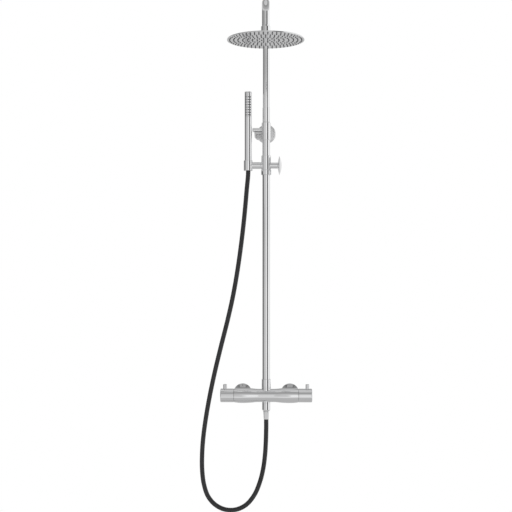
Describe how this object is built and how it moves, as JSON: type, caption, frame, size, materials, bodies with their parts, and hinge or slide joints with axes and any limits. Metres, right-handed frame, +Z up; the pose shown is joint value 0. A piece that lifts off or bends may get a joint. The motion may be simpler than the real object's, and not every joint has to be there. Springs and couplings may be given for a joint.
{
  "type": "rainfall shower column",
  "caption": "Wall-mounted shower column: thermostatic bar mixer, telescopic riser with swan-neck arm and round rain rose, and a stick hand shower on a slider with a black hose.",
  "frame": {"origin": "on the wall plane, midway between the two mixer inlets", "axes": "+Z up, +X to the right of a person facing the wall, -Y out of the wall towards that person"},
  "size_m": [0.3486, 0.5775, 1.5027],
  "materials": {
    "chrome": "polished",
    "rose_face": "satin",
    "brass": "machined",
    "steel": "machined",
    "rubber": "matte",
    "hose_cover": "satin",
    "silicone": "matte",
    "plastic": "matte"
  },
  "bodies": {
    "mixer": {"mixer_body": "chrome", "wall_flange_left": "chrome", "wall_flange_right": "chrome", "inlet_nut_left": "chrome", "inlet_nut_right": "chrome", "column_base_nut": "chrome", "hose_outlet_nipple": "chrome", "hose_mixer_nut": "chrome", "column_lower_tube": "chrome", "bracket_rosette": "chrome", "bracket_arm": "chrome", "bracket_side_housing": "chrome", "bracket_side_peg": "chrome", "thermostat_nut": "brass", "diverter_nut": "brass", "wall_union_left": "brass", "wall_union_right": "brass", "column_nipple": "brass", "telescope_set_screw": "steel", "bracket_wall_plate": "steel", "bracket_wall_screw_left": "steel", "bracket_wall_screw_right": "steel", "bracket_set_screw": "steel", "inlet_filter_left": "rubber", "inlet_filter_right": "rubber", "hose_mixer_washer": "rubber", "hose": "hose_cover", "thermostat_cartridge": "plastic", "diverter_cartridge": "plastic", "check_valve_left": "plastic", "check_valve_right": "plastic"},
    "temperature_handle": {"temperature_handle": "chrome", "temperature_handle_pin": "chrome", "thermostat_spindle": "brass"},
    "flow_handle": {"flow_handle": "chrome", "flow_handle_pin": "chrome", "diverter_spindle": "brass"},
    "telescope_guide": {"telescope_guide": "plastic", "telescope_o_ring": "rubber"},
    "riser_arm": {"column_upper_tube": "chrome", "arm_end_fitting": "chrome", "rose_union_nut": "chrome"},
    "ball_seal": {"ball_seal_ring": "rubber"},
    "rose": {"rose_ball_stud": "chrome", "rose_top_shell": "chrome", "rose_nozzle_plate": "rose_face", "rose_nozzle_mat": "silicone"},
    "slider": {"slider_sleeve": "chrome", "slider_bush": "plastic", "slider_pressure_pad": "plastic", "holder_pivot_screw": "steel"},
    "lock_knob": {"slider_lock_screw": "steel", "slider_lock_knob": "chrome"},
    "holder": {"handset_holder": "chrome"},
    "handset": {"handset_body": "chrome", "handset_connector": "brass", "handset_washer": "rubber", "handset_nozzle_strip": "chrome", "handset_end_cap": "chrome", "hose_cone_nut": "chrome"}
  },
  "joints": [
    {"name": "temperature_turn", "type": "hinge", "parent": "mixer", "child": "temperature_handle", "pos_m": [0, -0.065, 0], "axis": [1, 0, 0], "range_deg": [-150, 60]},
    {"name": "flow_turn", "type": "hinge", "parent": "mixer", "child": "flow_handle", "pos_m": [0, -0.065, 0], "axis": [1, 0, 0], "range_deg": [-90, 90]},
    {"name": "column_extend", "type": "slide", "parent": "mixer", "child": "telescope_guide", "axis": [0, 0, 1], "range_m": [-0.15, 0.1]},
    {"name": "arm_swivel", "type": "hinge", "parent": "telescope_guide", "child": "riser_arm", "pos_m": [0, -0.065, 0], "axis": [0, 0, 1], "range_deg": [-75, 75]},
    {"name": "rose_tilt", "type": "hinge", "parent": "riser_arm", "child": "ball_seal", "pos_m": [0, -0.45, 1.0405], "axis": [1, 0, 0], "range_deg": [-10, 10]},
    {"name": "rose_roll", "type": "hinge", "parent": "ball_seal", "child": "rose", "pos_m": [0, -0.45, 1.0405], "axis": [0, 1, 0], "range_deg": [-10, 10]},
    {"name": "slider_slide", "type": "slide", "parent": "mixer", "child": "slider", "axis": [0, 0, 1], "range_m": [-0.55, 0.04], "deforming": ["hose"]},
    {"name": "lock_knob_turn", "type": "hinge", "parent": "slider", "child": "lock_knob", "pos_m": [0, -0.065, 0.717], "axis": [1, 0, 0], "range_deg": [0, 180]},
    {"name": "holder_tilt", "type": "hinge", "parent": "slider", "child": "holder", "pos_m": [0, -0.065, 0.717], "axis": [1, 0, 0], "range_deg": [-10, 40]},
    {"name": "handset_lift", "type": "slide", "parent": "holder", "child": "handset", "axis": [0, 0, 1], "range_m": [0, 0.03]}
  ]
}
